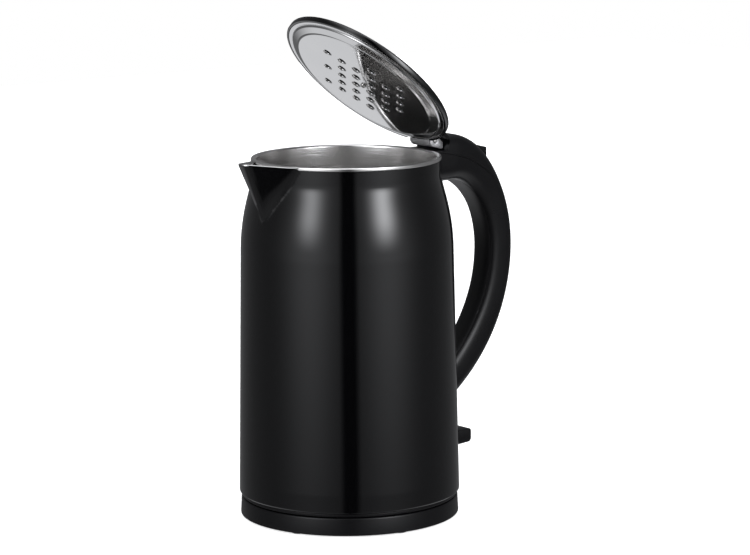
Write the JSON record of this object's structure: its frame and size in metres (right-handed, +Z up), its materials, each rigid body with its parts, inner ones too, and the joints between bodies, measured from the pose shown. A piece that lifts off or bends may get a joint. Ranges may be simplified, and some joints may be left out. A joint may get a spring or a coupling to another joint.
{
  "type": "electric kettle",
  "caption": "Cordless electric kettle: tapered double-walled body with a steel pot, a side handle and an open sprung lid, standing on a round power base.",
  "frame": {"origin": "under the middle of the whole object's bounding box, on the surface it stands on", "axes": "+Z up; the handle points along +X and the spout along -X"},
  "size_m": [0.2287, 0.1514, 0.3424],
  "materials": {
    "gloss_black": "polished black",
    "satin_black": "satin black",
    "soft_black": "soft-touch black",
    "rubber": "matt black",
    "brushed_steel": "brushed",
    "steel_fastener": "plain",
    "grey_steel": "satin light grey",
    "aluminium": "as cast",
    "brass": "plain",
    "white_plastic": "moulded off-white"
  },
  "bodies": {
    "power_base": {"base_bottom_plate": "satin_black", "base_connector_housing": "satin_black", "base_foot_1": "rubber", "base_foot_2": "rubber", "base_foot_3": "rubber", "base_foot_4": "rubber", "base_foot_5": "rubber", "base_foot_6": "rubber", "base_screw_1": "steel_fastener", "base_screw_2": "steel_fastener", "base_screw_3": "steel_fastener", "base_top_shell": "satin_black", "connector_center_pin": "brass", "connector_contact_ring": "brass", "cord_gland": "rubber"},
    "kettle_socket": {"kettle_socket": "satin_black"},
    "kettle": {"bimetal_disc": "brass", "bottom_cover": "satin_black", "bottom_cover_screw_1": "steel_fastener", "bottom_cover_screw_2": "steel_fastener", "bottom_cover_screw_3": "steel_fastener", "button_pivot_pin": "steel_fastener", "control_housing": "white_plastic", "element_terminal_1": "brass", "element_terminal_2": "brass", "handle_grip_insert": "soft_black", "handle_screw_lower": "steel_fastener", "handle_screw_upper": "steel_fastener", "handle_shell": "satin_black", "handle_top_cover": "satin_black", "heating_element": "brushed_steel", "heating_plate": "aluminium", "hinge_bracket": "grey_steel", "hinge_pin": "steel_fastener", "hinge_spring": "steel_fastener", "inner_pot": "brushed_steel", "latch_spring": "steel_fastener", "outer_shell": "gloss_black", "pot_support_ring": "white_plastic", "spout_liner": "brushed_steel", "steam_tube": "white_plastic", "switch_pivot_pin": "steel_fastener"},
    "lid": {"lid_cover": "gloss_black", "lid_carrier": "satin_black", "lid_pan": "brushed_steel", "lid_gasket": "rubber", "lid_hinge_arm": "grey_steel", "lid_center_screw": "steel_fastener", "lid_arm_screw_1": "steel_fastener", "lid_arm_screw_2": "steel_fastener"},
    "release_button": {"release_button": "satin_black"},
    "latch_slider": {"latch_slider": "satin_black"},
    "switch_lever": {"switch_lever": "satin_black"}
  },
  "joints": [
    {"name": "kettle_lift", "type": "slide", "parent": "power_base", "child": "kettle_socket", "axis": [0, 0, 1], "range_m": [0, 0.06]},
    {"name": "kettle_swivel", "type": "hinge", "parent": "kettle_socket", "child": "kettle", "pos_m": [-0.0264, 0, 0.02], "axis": [0, 0, 1], "continuous": true},
    {"name": "lid_hinge", "type": "hinge", "parent": "kettle", "child": "lid", "pos_m": [0.042, 0, 0.2524], "axis": [0, 1, 0], "range_deg": [-43.4, 0], "stiffness_Nm_per_rad": 0.15, "springref_deg": 51.57},
    {"name": "release_button_press", "type": "hinge", "parent": "kettle", "child": "release_button", "pos_m": [0.0761, 0, 0.2452], "axis": [0, 1, 0], "range_deg": [0, 7], "stiffness_Nm_per_rad": 0.1, "springref_deg": -1.72},
    {"name": "latch_slide", "type": "slide", "parent": "kettle", "child": "latch_slider", "axis": [1, 0, 0], "range_m": [0, 0.0026]},
    {"name": "switch_press", "type": "hinge", "parent": "kettle", "child": "switch_lever", "pos_m": [0.0376, 0, 0.04], "axis": [0, 1, 0], "range_deg": [0, 10]}
  ],
  "couplings": [
    {"joint": "latch_slide", "follows": "release_button_press", "m_per_rad": 0.0205}
  ]
}
